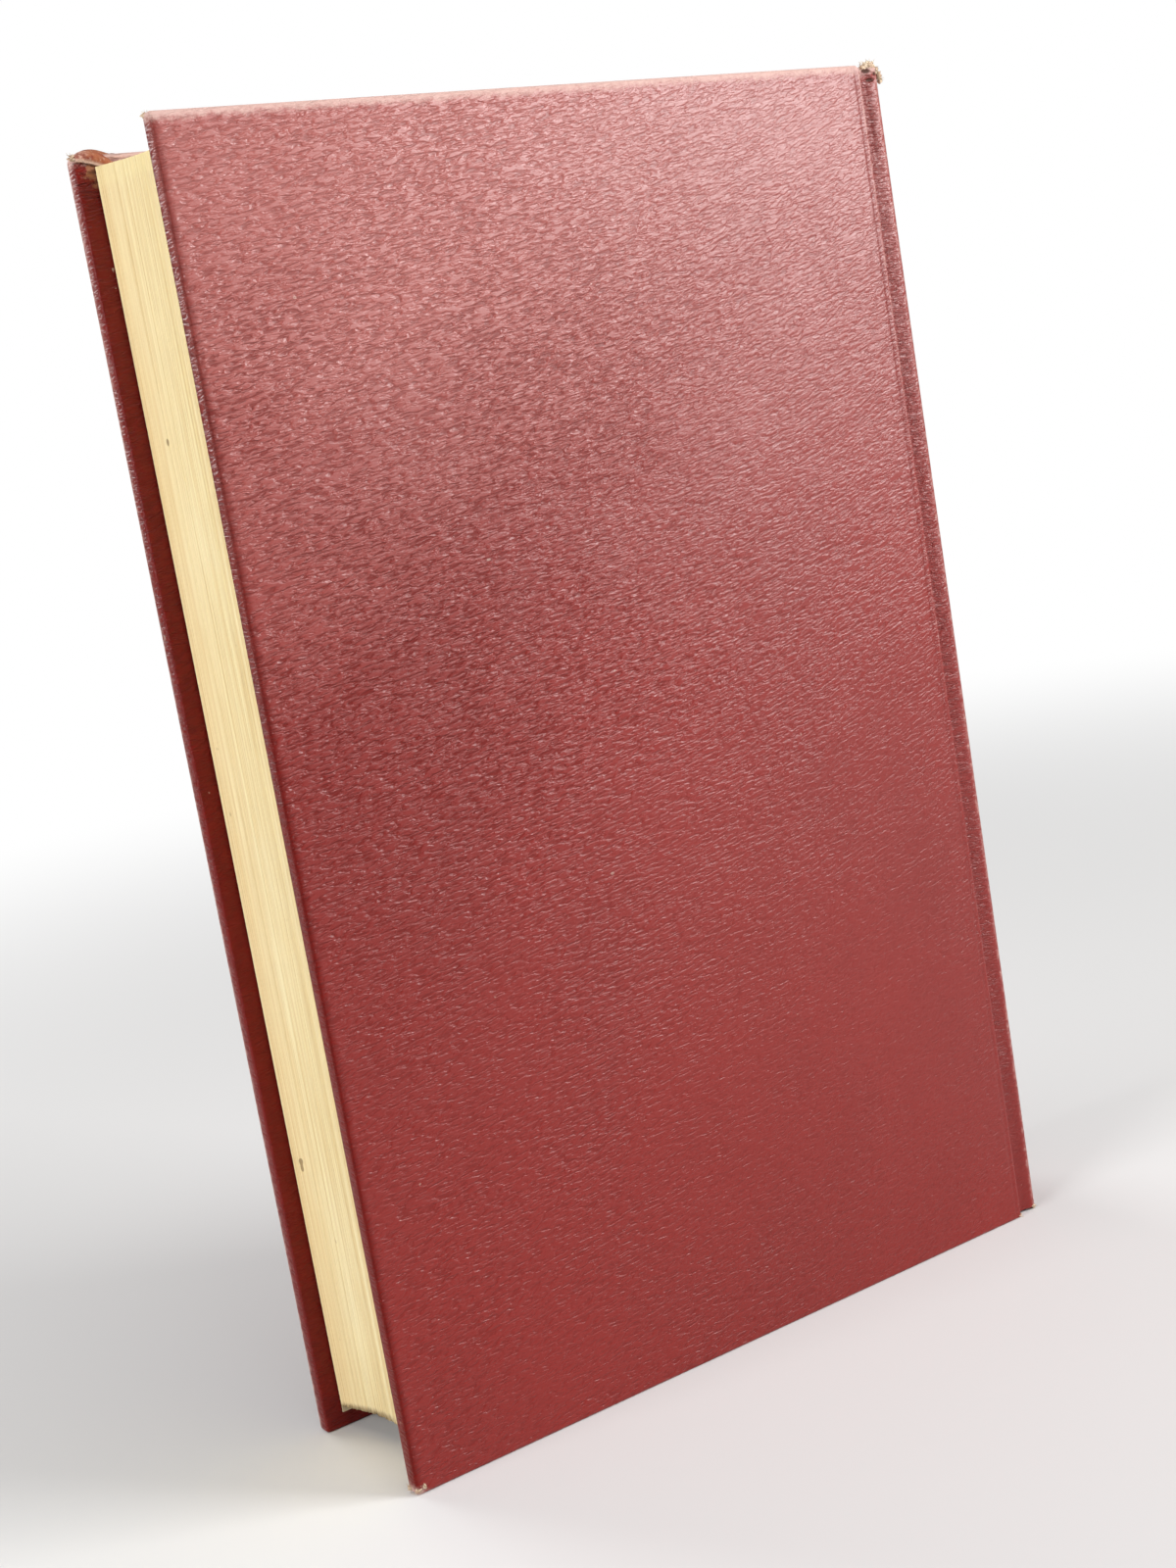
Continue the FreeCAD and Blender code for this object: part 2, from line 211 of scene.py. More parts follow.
world = bpy.data.worlds.new("studio")
bpy.context.scene.world = world
world.use_nodes = True
links = world.node_tree.links
background = world.node_tree.nodes["Background"]
background.inputs["Color"].default_value = (1, 1, 1, 1)
path = world.node_tree.nodes.new("ShaderNodeLightPath")
strength = world.node_tree.nodes.new("ShaderNodeMapRange")
strength.inputs["To Min"].default_value = SURROUNDINGS
strength.inputs["To Max"].default_value = 1.0
links.new(path.outputs["Is Camera Ray"], strength.inputs["Value"])
links.new(strength.outputs["Result"], background.inputs["Strength"])

# %% Lamps
BOOK_MIDDLE = Vector((0, 0, 111 * MM))
COVER_HEAD = Vector((0.02, -0.018, 0.2))
soft_lamp("sheen_lamp", Vector((0.540, -0.600, 0.450)), COVER_HEAD, 0.40, 7.9)
soft_lamp("top_lamp", Vector((0.10, -0.35, 1.5)), BOOK_MIDDLE, 0.9, 6)
soft_lamp("far_lamp", Vector((-0.25, 1.1, 0.8)), BOOK_MIDDLE, 0.7, 7)
soft_lamp("leaf_lamp", Vector((-1.0, -0.15, 0.50)), BOOK_MIDDLE, 0.6, 7.8)
bpy.context.scene.view_settings.view_transform = "Standard"

# %% [markdown]
# A helper for node materials
#
# Each finish below is a small tree of nodes. The helper keeps the code close to how the tree
# reads: a node with its settings and its inputs, which are numbers or other nodes' outputs.


# %% Node helper
class Finish:
    """A node material under construction."""

    def __init__(self, name):
        self.material = bpy.data.materials.new(name)
        self.material.use_nodes = True
        self.tree = self.material.node_tree
        self.shader = self.tree.nodes["Principled BSDF"]
        self.place = self.add("TexCoord").outputs["Object"]

    def add(self, kind, inputs=None, **settings):
        node = self.tree.nodes.new("ShaderNode" + kind)
        for key, setting in settings.items():
            setattr(node, key, setting)
        for key, given in (inputs or {}).items():
            self.join(given, node.inputs[key])
        return node

    def join(self, given, socket):
        if isinstance(given, bpy.types.NodeSocket):
            self.tree.links.new(given, socket)
        else:
            socket.default_value = given

    def noise(self, scale, tilt=0, detail=2.0, roughness=0.5, distortion=0.0):
        """Noise over the object, tilted by degrees, then scaled to patterns per metre."""
        place = self.place
        if tilt:
            turned = self.add("Mapping", {"Vector": place, "Rotation": (0, math.radians(tilt), 0)})
            place = turned.outputs["Vector"]
        place = self.add("Mapping", {"Vector": place, "Scale": scale}).outputs["Vector"]
        node = self.add(
            "TexNoise",
            {"Vector": place, "Scale": 1.0, "Detail": detail, "Roughness": roughness,
             "Distortion": distortion},
        )
        return node.outputs["Fac"]

    def ramp(self, value, low, high, to_low=0.0, to_high=1.0):
        node = self.add(
            "MapRange",
            {"Value": value, "From Min": low, "From Max": high,
             "To Min": to_low, "To Max": to_high},
            interpolation_type="SMOOTHSTEP",
        )
        return node.outputs["Result"]

    def math(self, operation, first, second=0.0):
        node = self.add("Math", operation=operation)
        self.join(first, node.inputs[0])
        self.join(second, node.inputs[1])
        return node.outputs[0]

    def product(self, first, *others):
        for other in others:
            first = self.math("MULTIPLY", first, other)
        return first

    def shifted(self, value, by, amount):
        """A value moved by an amount of another one."""
        return self.math("ADD", value, self.product(by, amount))

    def mix(self, share, first, second):
        node = self.add("Mix", data_type="RGBA")
        self.join(share, node.inputs["Factor"])
        for given, socket in ((first, node.inputs[6]), (second, node.inputs[7])):
            self.join((*given, 1) if isinstance(given, tuple) else given, socket)
        return node.outputs[2]

    def part(self, axis):
        """One coordinate of the object, in metres."""
        split = self.add("SeparateXYZ", {"Vector": self.place})
        return split.outputs[axis]

    def attribute(self, name):
        return self.add("Attribute", attribute_name=name).outputs["Fac"]

    def bump(self, height, distance, strength, under=None):
        inputs = {"Height": height, "Distance": distance, "Strength": strength}
        if under is not None:
            inputs["Normal"] = under
        return self.add("Bump", inputs).outputs["Normal"]

    def finish(self, **sockets):
        for key, given in sockets.items():
            self.join(given, self.shader.inputs[key.replace("_", " ")])
        return self.material


# %% [markdown]
# Maroon leathercloth
#
# The coating has three scales of relief. The finest is a pebble grain a third of a millimetre
# across. Over it runs a web of short wavy wrinkles, two or three millimetres long and less than
# one apart, which climb a little towards the spine. Under both the cloth lies in slow waves over
# the board, which break up the sheen. The wrinkles are two noises, tilted and then stretched,
# that change over into each other across the cover. They are boldest beside the fore-edge and
# calmer at the tail, at the head and beside the joint.
#
# Vertex attributes made with the meshes say where the coating is rubbed, which at the head rim and
# on the shoulder is also a painted highlight; where painted shade darkens it; where it is gone
# (bare), torn through with painted shade in the holes (hollow) or dusted with paper fibres (dust);
# and where the cloth is crumpled (crumple). The outer side is painted paler towards the head, a
# painted sheen, and the crease valleys are darkened as painted shade.


# %% Leathercloth
def wrinkles(make, scale, tilt):
    """Wavy ridges and creases across the cover, tilted by some degrees."""
    return make.noise(scale, tilt, roughness=0.45, distortion=0.6)


def leather_relief(make):
    """Bump of the coating, and how deep in a crease each point lies."""
    drift = make.noise((28, 28, 28))
    along = wrinkles(make, (480, 480, 1900), 10)
    across = wrinkles(make, (620, 620, 1950), 22)
    web_share = make.ramp(make.part("X"), -0.04, 0.055, 0.15, 0.65)
    web = make.add("Mix", {"Factor": web_share, "A": along, "B": across}).outputs["Result"]
    head_share = make.ramp(make.part("Z"), 0.07, 0.14, 0.55, 1.0)
    calm = make.ramp(make.part("Z"), 0.175, 0.215, 1.0, 0.6)
    side_share = make.ramp(make.part("X"), -0.03, 0.05, 1.0, 0.55)
    bold = make.product(head_share, calm, side_share, make.ramp(drift, 0.3, 0.65, 0.65, 1.0))
    ridge = make.ramp(web, 0.33, 0.62)
    relief = make.product(ridge, bold)
    waves = make.noise((45, 45, 70), 25)
    grain = make.noise((2100, 2100, 2600), roughness=0.6)
    creases = make.noise((180, 180, 1100), distortion=0.8)
    creases = make.math("ABSOLUTE", make.math("SUBTRACT", creases, 0.5))
    creases = make.product(make.ramp(creases, 0.0, 0.06), make.attribute("crumple"))
    normal = make.bump(waves, 0.0006, 0.6)
    normal = make.bump(relief, 0.00024, 0.9, under=normal)
    normal = make.bump(grain, 0.00005, 0.35, under=normal)
    normal = make.bump(creases, 0.0004, 0.8, under=normal)
    intact = make.math("SUBTRACT", 1.0, make.attribute("hollow"))
    normal = make.bump(intact, 0.0005, 0.8, under=normal)
    valley = make.product(make.ramp(ridge, 0.55, 0.0), bold)
    return normal, valley


# Near-black brown inside the torn holes: painted shade.
HOLE_SHADE = (0.06, 0.022, 0.014)
SPECK_PINK = (0.58, 0.42, 0.34)


def leathercloth(name, base, sheen_colour, rubbed_and_lit, backing):
    make = Finish(name)
    normal, valley = leather_relief(make)
    shade_colour = tuple(c * 0.4 for c in base)
    blotches = make.noise((16, 16, 12), detail=4, roughness=0.6)
    colour = make.mix(make.ramp(blotches, 0.3, 0.75), base, tuple(c * 0.86 for c in base))
    # The outer side is painted paler towards the head, most on the fore-edge side: a painted sheen.
    drift = make.noise((20, 20, 30), 25)
    height = make.shifted(make.part("Z"), drift, 0.06)
    outer_side = make.ramp(make.math("ABSOLUTE", make.part("Y")), 0.0158, 0.0172)
    fore_side = make.ramp(make.part("X"), -0.05, 0.06, 1.0, 0.45)
    painted_sheen = make.product(make.ramp(height, 0.14, 0.26), outer_side, fore_side)
    colour = make.mix(painted_sheen, colour, sheen_colour)
    # The crease valleys are darkened in the colour: painted shade.
    colour = make.mix(make.product(valley, 0.5), colour, shade_colour)
    streaks = make.noise((500, 500, 260), detail=4, roughness=0.7)
    # Painted shade in the groove, along the pressed line, on the turn-ins and along the fore-edge
    # rim, mottled by streaks.
    painted_shade = make.product(make.attribute("painted_shade"), make.ramp(streaks, 0.3, 0.7, 0.6, 1.0))
    colour = make.mix(painted_shade, colour, shade_colour)
    torn = make.noise((900, 900, 900), detail=5, roughness=0.7)
    # Rubbed places are painted pale; at the head rim and on the shoulder this is also a painted
    # highlight.
    worn_and_lit = make.ramp(make.shifted(make.attribute("wear_and_highlight"), torn, 0.8), 0.72, 1.2)
    colour = make.mix(make.product(worn_and_lit, 0.85), colour, rubbed_and_lit)
    shreds = make.noise((520, 520, 520), detail=5, roughness=0.65)
    bare = make.ramp(make.shifted(make.attribute("bare"), shreds, 0.9), 1.0, 1.12)
    colour = make.mix(bare, colour, backing)
    # The torn holes are painted near black: painted shade inside them.
    hole_edge = make.shifted(make.attribute("hollow"), shreds, 0.7)
    colour = make.mix(make.ramp(hole_edge, 0.75, 1.0, 0.0, 0.9), colour, HOLE_SHADE)
    flecks = make.noise((1500, 1500, 1500))
    fleck_share = make.shifted(flecks, make.attribute("dust"), 0.2)
    specks = make.noise((560, 560, 620), detail=0)
    speck_share = make.math("MAXIMUM", make.ramp(specks, 0.885, 0.90, 0.0, 0.4),
                            make.ramp(fleck_share, 0.78, 0.84, 0.0, 0.8))
    colour = make.mix(speck_share, colour, SPECK_PINK)
    rough = make.ramp(blotches, 0.3, 0.7, 0.34, 0.375)
    rough = make.shifted(rough, make.math("MAXIMUM", worn_and_lit, bare), 0.3)
    dull = make.math("MAXIMUM", make.attribute("painted_shade"), make.ramp(hole_edge, 0.7, 0.9))
    dull = make.math("MAXIMUM", dull, make.product(valley, 0.6))
    head_gloss = make.ramp(make.part("Z"), 0.10, 0.20, 0.75, 0.95)
    gloss = make.product(make.ramp(dull, 0.0, 1.0, 0.7, 0.12), head_gloss)
    return make.finish(Base_Color=colour, Roughness=rough, Normal=normal, Specular_IOR_Level=gloss)


MAROON = (0.245, 0.009, 0.005)
# The paler maroon of the painted sheen at the head.
PALE_SHEEN_MAROON = (0.40, 0.10, 0.085)
# Pale pink of rubbed places, also the painted highlight on the head rim and shoulder.
RUBBED_AND_LIT_PINK = (0.70, 0.47, 0.41)
BARE_CLOTH = (0.33, 0.13, 0.06)
leather = leathercloth("maroon_leathercloth", MAROON, PALE_SHEEN_MAROON, RUBBED_AND_LIT_PINK, BARE_CLOTH)
print("leathercloth has", len(leather.node_tree.nodes), "nodes")

# %% [markdown]
# Paper, board, cloth
#
# The cut edges of the leaves look like fine lines along the book, since each leaf takes light and
# dirt a little differently. Endpapers are smoother. Board and broken cloth show felted fibres.


# %% Paper and board
def leaf_edges():
    make = Finish("cream_leaf_edges")
    lines = make.noise((55, 5500, 55), detail=3, roughness=0.6)
    bands = make.noise((16, 2000, 16), roughness=0.6)
    clouds = make.noise((60, 60, 30), detail=4, roughness=0.6)
    colour = make.mix(make.ramp(bands, 0.3, 0.7), (0.93, 0.81, 0.49), (0.80, 0.63, 0.33))
    colour = make.mix(make.ramp(lines, 0.42, 0.80, 0.0, 0.5), colour, (0.60, 0.42, 0.20))
    colour = make.mix(make.ramp(clouds, 0.35, 0.8, 0.0, 0.4), colour, (0.92, 0.83, 0.56))
    far_side = make.ramp(make.part("Y"), 0.008, 0.0148, 0.0, 0.35)
    colour = make.mix(far_side, colour, (0.80, 0.56, 0.26))
    # The head band of the leaves is painted yellower: a painted glow of light through the paper.
    ragged_edge = make.shifted(make.part("Z"), lines, 0.0015)
    head = make.ramp(ragged_edge, 0.2165, 0.2185, 0.0, 0.35)
    colour = make.mix(head, colour, (0.90, 0.78, 0.42))
    tail = make.ramp(ragged_edge, 0.0060, 0.0048, 0.0, 0.85)
    far_half = make.ramp(make.part("Y"), -0.001, 0.005)
    colour = make.mix(make.product(tail, far_half), colour, (0.26, 0.17, 0.08))
    specks = make.noise((420, 420, 260), detail=1, roughness=0.3)
    colour = make.mix(make.ramp(specks, 0.80, 0.83, 0.0, 0.7), colour, (0.22, 0.12, 0.04))
    height = make.shifted(lines, bands, 0.6)
    return make.finish(Base_Color=colour, Roughness=0.86, Normal=make.bump(height, 0.00006, 0.6))


def fibrous(name, light, dark, scale, depth, rough):
    """Felted fibre: paper, board or the frayed back of the cloth."""
    make = Finish(name)
    fibres = make.noise((scale, scale, scale * 0.5), detail=4, roughness=0.7, distortion=0.6)
    clouds = make.noise((40, 40, 40), detail=4, roughness=0.6)
    colour = make.mix(make.ramp(fibres, 0.3, 0.7), light, dark)
    colour = make.mix(make.ramp(clouds, 0.45, 0.8, 0.0, 0.4), colour, tuple(c * 0.75 for c in dark))
    return make.finish(Base_Color=colour, Roughness=rough, Normal=make.bump(fibres, depth, 0.6))


leaf_paper = leaf_edges()
endpaper = fibrous("aged_endpaper", (0.64, 0.53, 0.36), (0.57, 0.45, 0.28), 700, 0.00003, 0.85)
greyboard = fibrous("raw_greyboard", (0.46, 0.38, 0.26), (0.30, 0.24, 0.16), 900, 0.0001, 0.9)
kraft = fibrous("kraft_lining", (0.42, 0.28, 0.15), (0.34, 0.21, 0.10), 800, 0.00005, 0.85)
frayed = fibrous("frayed_fibres", (0.82, 0.68, 0.50), (0.46, 0.28, 0.18), 1100, 0.0002, 0.95)


def woven(name, warp, weft, threads):
    """Plain weave of two thread colours, such as mull or a sewn band."""
    make = Finish(name)
    across = make.add("TexWave", {"Vector": make.place, "Scale": threads}, bands_direction="Y")
    along = make.add("TexWave", {"Vector": make.place, "Scale": threads}, bands_direction="Z")
    over = make.product(across.outputs["Fac"], along.outputs["Fac"])
    colour = make.mix(across.outputs["Fac"], warp, weft)
    return make.finish(Base_Color=colour, Roughness=0.9, Normal=make.bump(over, 0.00015, 0.7))


mull_cloth = woven("mull_weave", (0.72, 0.68, 0.58), (0.60, 0.55, 0.45), 250)
band_silk = woven("headband_thread", (0.78, 0.72, 0.58), (0.34, 0.06, 0.07), 180)

FINISHES = {
    "back_board": greyboard,
    "front_board": greyboard,
    "back_pastedown": endpaper,
    "front_pastedown": endpaper,
    "back_flyleaf": endpaper,
    "front_flyleaf": endpaper,
    "spine_inlay": greyboard,
    "spine_lining": kraft,
    "mull": mull_cloth,
    "head_band": band_silk,
    "tail_band": band_silk,
}
for node_name, material in FINISHES.items():
    mesh = nodes[node_name].data
    mesh.materials.clear()
    mesh.materials.append(material)
print("finished", len(FINISHES), "CAD nodes")

# %% [markdown]
# The cover's skin
#
# The leathercloth lies over the board, turns in at head, tail and fore-edge, and on the spine
# side dips into the groove and climbs to the shoulder. It is modelled as one open sheet: a box
# without its spine side, its inside cut away to leave the turn-ins, and a strip extruded from
# the board's edge along the groove's outline. A Solidify modifier then gives the cloth its
# thickness. Level lines every few millimetres let the sheet bend and carry small waves.
#
# Wear, painted highlight and painted shade are measured from the edges: the head rim is rubbed pale
# and painted as lit, a dull line with painted shade is pressed in beside the joint, and the cloth
# at the head of the groove is lifted and holed.


# %% Mesh helpers
def bend(start, corner, end, steps=4):
    """Points round a softened corner, from start to end."""
    points = []
    for step in range(1, steps + 1):
        t = step / steps
        points.append(start * (1 - t) ** 2 + corner * (2 * t * (1 - t)) + end * t ** 2)
    return points


def levels(low, high, step, ends):
    """Even levels between two heights, with extra ones at chosen distances from both ends."""
    count = round((high - low) / step)
    inside = [low + (high - low) * i / count for i in range(1, count)]
    extra = [low + e for e in ends] + [high - e for e in ends]
    return sorted(set(round(z, 6) for z in inside + extra))


def cut_levels(bm, axis, places):
    """Cuts the whole mesh with planes square to one axis."""
    normal = Vector((axis == "x", axis == "y", axis == "z"))
    for place in places:
        geometry = bm.verts[:] + bm.edges[:] + bm.faces[:]
        bmesh.ops.bisect_plane(bm, geom=geometry, plane_co=normal * place, plane_no=normal,
                               dist=1e-7)


def extrude_path(bm, edges, path):
    """Extrudes an edge chain from point to point; the chain's own shape is kept."""
    before = path[0]
    for point in path[1:]:
        made = bmesh.ops.extrude_edge_only(bm, edges=edges)["geom"]
        verts = [g for g in made if isinstance(g, bmesh.types.BMVert)]
        edges = [g for g in made if isinstance(g, bmesh.types.BMEdge)]
        bmesh.ops.translate(bm, verts=verts, vec=point - before)
        before = point
    return edges


def finish_piece(name, bm, material):
    mesh = bpy.data.meshes.new(name)
    bm.to_mesh(mesh)
    bm.free()
    mesh.materials.append(material)
    mesh.polygons.foreach_set("use_smooth", [True] * len(mesh.polygons))
    piece = bpy.data.objects.new(name, mesh)
    bpy.context.scene.collection.objects.link(piece)
    return piece


def thicken(piece, name, thickness, offset):
    thick = piece.modifiers.new(name, "SOLIDIFY")
    thick.thickness = thickness
    thick.offset = offset


def paint(piece, name, measure):
    """Stores measure(point), from 0 to 1, on every vertex."""
    attribute = piece.data.attributes.new(name, "FLOAT", "POINT")
    attribute.data.foreach_set("value", [measure(v.co) for v in piece.data.vertices])


def near(first, second):
    return abs(first - second) < 1e-5


def closeness(distance, reach):
    """1 at no distance, falling to 0 at reach."""
    return max(0.0, 1.0 - distance / reach)


Z_LEVELS = levels(TAIL_Z, HEAD_Z, 6 * MM, ends=(0.6 * MM, 1.5 * MM, 3 * MM, 9 * MM, TURN_IN))
X_LEVELS = levels(FORE_X, JOINT_X, 6 * MM, ends=(1.5 * MM, 3 * MM, TURN_IN))
PRESSED_LINE = JOINT_X - 1.3 * MM
X_LEVELS += [PRESSED_LINE - 0.5 * MM, PRESSED_LINE, PRESSED_LINE + 0.5 * MM]


# %% The groove's outline
def spine_point(angle):
    """A point of the spine's arc; a negative angle lies on the back cover's side."""
    return SPINE_CENTRE + Vector((math.cos(angle), math.sin(angle), 0)) * SPINE_RADIUS


def groove_path():
    """From the board's face over its edge, through the groove and over the shoulder."""
    face_end = Vector((JOINT_X - EDGE_ROUND, OUTER_Y, 0))
    board_corner = Vector((JOINT_X, OUTER_Y, 0))
    board_side = Vector((JOINT_X, OUTER_Y + EDGE_ROUND * 1.4, 0))
    floor_y = OUTER_Y + GROOVE_DEPTH
    floor_start = Vector((JOINT_X + 0.7 * MM, floor_y, 0))
    ramp_start = Vector((HINGE_X + 0.15 * MM, floor_y, 0))
    ramp_low = ramp_start.lerp(CREST, 0.3)
    ramp_high = ramp_start.lerp(CREST, 0.7)
    over = spine_point(-CREST_ANGLE + math.radians(2))
    path = [face_end]
    path += bend(face_end, board_corner, board_side)
    path += bend(board_side, Vector((JOINT_X + 0.05 * MM, floor_y, 0)), floor_start)
    path += bend(floor_start, ramp_start, ramp_low, 3)
    path += bend(ramp_low, ramp_low.lerp(ramp_high, 0.5), ramp_high, 2)
    path += bend(ramp_high, CREST, over, 5)
    path += [spine_point(-CREST_ANGLE + math.radians(a)) for a in (4, 6)]
    path += [spine_point(-SEAM_ANGLE)]
    return path


print("groove outline has", len(groove_path()), "points")


# %% Cover skins
GROOVE_TURN_IN = 2.6 * MM
HEAD_SOFT = 1.4 * MM
HEAD_LEVELS = [HEAD_Z - d * MM for d in (0.75, 1.1, 1.9, 2.3, 2.7, 3.4, 4.0, 5.0)]
HEAD_ROUNDING = 0.6
PRESSED_DEPTH = 0.12 * MM
WAVE_HEIGHT = 0.06 * MM
WAVES_X, WAVES_Z = 30, 24
GROOVE_HEAD = 5 * MM
GROOVE_LIFT = 1.0 * MM
SAG = 0.35 * MM
SAG_REACH = 3.4 * MM
INNER_Y_FRONT = -INNER_Y


def cover_skin_shape():
    """The open sheet of one cover, on the back side of the book."""
    bm = bmesh.new()
    low = Vector((FORE_X, OUTER_Y, TAIL_Z))
    high = Vector((JOINT_X - EDGE_ROUND, INNER_Y, HEAD_Z))
    bmesh.ops.create_cube(bm, size=1)
    bmesh.ops.scale(bm, verts=bm.verts, vec=high - low)
    bmesh.ops.translate(bm, verts=bm.verts, vec=(low + high) / 2)
    spine_side = [f for f in bm.faces if f.normal.x > 0.5]
    bmesh.ops.delete(bm, geom=spine_side, context="FACES_ONLY")
    corner_edges = [e for e in bm.edges if all(near(v.co.x, FORE_X) for v in e.verts) and
                    not near(e.verts[0].co.y, e.verts[1].co.y)]
    bmesh.ops.bevel(bm, geom=corner_edges, affect="EDGES", offset=CORNER_ROUND, segments=4,
                    profile=0.5, material=-1)
    rims = [e for e in bm.edges if near(e.verts[0].co.y, e.verts[1].co.y) and
            not all(near(v.co.x, high.x) for v in e.verts)]
    bmesh.ops.bevel(bm, geom=rims, affect="EDGES", offset=EDGE_ROUND, segments=3, profile=0.5,
                    material=-1)
    cut_levels(bm, "z", sorted(Z_LEVELS + HEAD_LEVELS))
    cut_levels(bm, "x", X_LEVELS)
    window = []
    for face in bm.faces:
        centre = face.calc_center_median()
        inside = TAIL_Z + TURN_IN < centre.z < HEAD_Z - TURN_IN and centre.x > FORE_X + TURN_IN
        if face.normal.y > 0.9 and inside:
            window.append(face)
    bmesh.ops.delete(bm, geom=window, context="FACES")
    joint_edges = [e for e in bm.edges
                   if all(near(v.co.x, high.x) and near(v.co.y, OUTER_Y) for v in e.verts)]
    extrude_path(bm, joint_edges, groove_path())
    strip_ends = [e for e in bm.edges if e.is_boundary and
                  any(near(v.co.z, z) for z in (TAIL_Z, HEAD_Z) for v in e.verts) and
                  near(e.verts[0].co.z, e.verts[1].co.z) and
                  min(v.co.x for v in e.verts) > high.x - 1e-6]
    for end_z, sign in ((TAIL_Z, 1), (HEAD_Z, -1)):
        chain = [e for e in strip_ends if near(e.verts[0].co.z, end_z)]
        inwards = Vector((0, LEATHER * 1.05, 0))
        down = Vector((0, 0, sign * GROOVE_TURN_IN))
        extrude_path(bm, chain, [Vector(), inwards * 0.5, inwards, inwards + down])
    bmesh.ops.remove_doubles(bm, verts=bm.verts, dist=1e-6)
    return bm


def settle(vert, sign):
    """Rounds the head rim, presses the line beside the joint and lifts the groove's head."""
    point = vert.co
    middle_y = (abs(OUTER_Y) + abs(INNER_Y)) / 2
    below_head = HEAD_Z - point.z
    if abs(point.y) > middle_y and point.x < JOINT_X and below_head < HEAD_SOFT:
        rest = HEAD_SOFT - below_head
        drop = (HEAD_SOFT - math.sqrt(HEAD_SOFT ** 2 - rest ** 2)) * HEAD_ROUNDING
        point.y -= sign * drop * (abs(point.y) - middle_y) / (abs(OUTER_Y) - middle_y)
    if abs(point.y) > abs(OUTER_Y) - 0.02 * MM and point.x < JOINT_X:
        if near(point.x, PRESSED_LINE):
            point.y -= sign * PRESSED_DEPTH
        place = Vector((point.x * WAVES_X, sign * 5, point.z * WAVES_Z))
        point.y += sign * WAVE_HEIGHT * noise.noise(place)
    if point.x > JOINT_X + 0.3 * MM and below_head < GROOVE_HEAD:
        across = min(1.0, (point.x - JOINT_X) / GROOVE_RUN)
        lift = min(GROOVE_LIFT, abs(OUTER_Y) - abs(point.y)) * (1 - 0.8 * across)
        point.y += sign * lift * closeness(below_head, GROOVE_HEAD) ** 1.5
        beside = (Vector((point.x, -abs(point.y), 0)) - CREST).length
        point.z -= SAG * closeness(beside, SAG_REACH) * closeness(below_head, 1.0 * MM)


def cover_skin(side, sign):
    bm = cover_skin_shape()
    if sign > 0:
        bmesh.ops.scale(bm, verts=bm.verts, vec=(1, -1, 1))
        bmesh.ops.reverse_faces(bm, faces=bm.faces)
    bmesh.ops.recalc_face_normals(bm, faces=bm.faces)
    for vert in bm.verts:
        settle(vert, sign)
    piece = finish_piece(f"{side}_cover_skin", bm, leather)
    paint(piece, "painted_shade", cover_painted_shade)
    if sign > 0:
        paint(piece, "wear_and_highlight", lambda p: max(cover_wear_and_highlight(p), front_rim_wear(p)))
        paint(piece, "bare", peeled_corner)
        paint(piece, "crumple", lambda p: max(joint_crumple(p), min(1.0, 1.6 * peeled_corner(p))))
        paint(piece, "dust", leaf_dust)
    else:
        paint(piece, "wear_and_highlight", lambda p: max(cover_wear_and_highlight(p), back_rim_wear(p)))
        paint(piece, "crumple", joint_crumple)
        paint(piece, "hollow", torn_holes)
    thicken(piece, "cloth_thickness", CLOTH, -1)
    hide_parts(f"{side}_cover_leather")
    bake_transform(piece)
    return piece


def cover_wear_and_highlight(point):
    """Rubbing along the board's rims, strongest at the head, and on the shoulder; at the head rim
    and on the shoulder it is also a painted highlight.
    """
    outer = closeness(abs(abs(point.y) - abs(OUTER_Y)), 1.6 * MM)
    below_head = HEAD_Z - point.z
    head = max(closeness(below_head, 1.0 * MM), 0.9 * closeness(below_head, 3.2 * MM))
    tail = 0.4 * closeness(point.z - TAIL_Z, 1.0 * MM)
    joint = closeness(abs(point.x - JOINT_X + 0.3 * MM), 1.3 * MM) * outer * (0.25 + 1.2 * point.z)
    crest = 0.55 * closeness((Vector((point.x, -abs(point.y), 0)) - CREST).length, 1.7 * MM)
    return min(1.0, max(head, tail, joint, crest))


def rim_distance(point, rim_y):
    """How far a point lies from one of the fore-edge rims of a board."""
    return math.hypot(point.x - FORE_X, abs(point.y) - abs(rim_y))


def front_rim_wear(point):
    """The front board's outer fore-edge rim is rubbed pale."""
    return closeness(rim_distance(point, OUTER_Y), 1.0 * MM)


def back_rim_wear(point):
    """The back board's inner fore-edge rim and its tail corner are rubbed."""
    corner = closeness(math.hypot(point.x - FORE_X, point.z - TAIL_Z), 3.5 * MM)
    return max(0.5 * closeness(rim_distance(point, INNER_Y), 0.7 * MM), 0.8 * corner)


# How much painted shade darkens the turn-ins between the boards.
TURN_IN_SHADE = 0.6
CREASE_REACH = 9 * MM


def cover_painted_shade(point):
    """Painted shade in the groove and beside it, on the turn-ins and on the fore-edge rim; the
    fore-edge side of the board is darker too.
    """
    upper = min(1.0, point.z / (150 * MM))
    if point.x > JOINT_X - 0.2 * MM:
        groove = (0.10 + 0.06 * upper) * closeness(abs(point.x - HINGE_X - 0.3 * MM), 2.6 * MM)
        in_crease = closeness(abs(HEAD_Z - CREASE_REACH - point.z), CREASE_REACH) > 0
        crease = 0.8 * closeness(abs(point.x - HINGE_X - 1.2 * MM), 0.8 * MM) * in_crease
        return max(groove, crease)
    if abs(point.y) < abs(INNER_Y) + 0.5 * MM:
        return TURN_IN_SHADE
    pressed = 0.45 * closeness(abs(point.x - PRESSED_LINE), 0.7 * MM) * upper
    side = (0.75 - 0.3 * upper) * closeness(point.x - FORE_X, 0.9 * MM)
    return max(pressed, side, closeness(rim_distance(point, OUTER_Y), 1.1 * MM))


